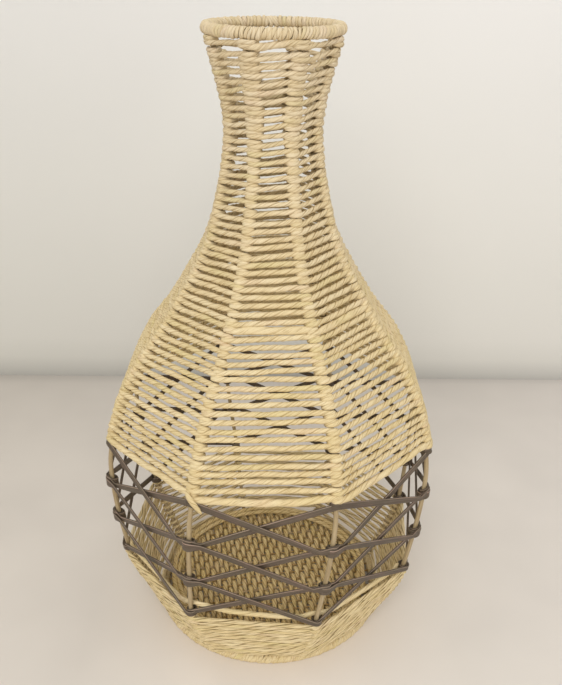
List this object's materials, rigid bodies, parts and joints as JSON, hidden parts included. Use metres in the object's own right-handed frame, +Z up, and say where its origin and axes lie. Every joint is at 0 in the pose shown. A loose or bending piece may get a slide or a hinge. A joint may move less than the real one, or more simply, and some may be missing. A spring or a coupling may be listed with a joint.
{
  "type": "woven vase",
  "caption": "Free-standing bottle-shaped vase of rope woven on a bent wire frame, with a narrow neck, a wide body and an open lattice band above a woven bowl.",
  "frame": {"origin": "centre of the base ring, on the plane the vase stands on", "axes": "+Z up along the axis from the base to the rim, -Y towards the front, +X to the right as seen from the front"},
  "size_m": [0.275, 0.275, 0.504],
  "materials": {
    "rope": "matt twisted paper rope, straw colour",
    "wire": "satin tan paint on steel wire",
    "strip": "flat dark brown paper strip with a faint sheen"
  },
  "bodies": {
    "root": {"rim_binding": "rope", "neck_weave": "rope", "shoulder_weave": "rope", "body_weave": "rope", "bowl_weave": "rope", "base_mat": "rope", "base_binding": "rope", "rim_ring": "wire", "base_ring": "wire", "rib_1": "wire", "rib_2": "wire", "rib_3": "wire", "rib_4": "wire", "rib_5": "wire", "rib_6": "wire", "rib_7": "wire", "rib_8": "wire", "cross_wire_1": "wire", "cross_wire_2": "wire", "cross_wire_3": "wire", "cross_wire_4": "wire", "outer_strip_1": "strip", "outer_strip_2": "strip", "outer_strip_3": "strip", "outer_strip_4": "strip", "outer_strip_5": "strip", "outer_strip_6": "strip", "outer_strip_7": "strip", "outer_strip_8": "strip", "inner_strip_1": "strip", "inner_strip_2": "strip", "inner_strip_3": "strip", "inner_strip_4": "strip", "inner_strip_5": "strip", "inner_strip_6": "strip", "inner_strip_7": "strip", "inner_strip_8": "strip"}
  },
  "joints": []
}
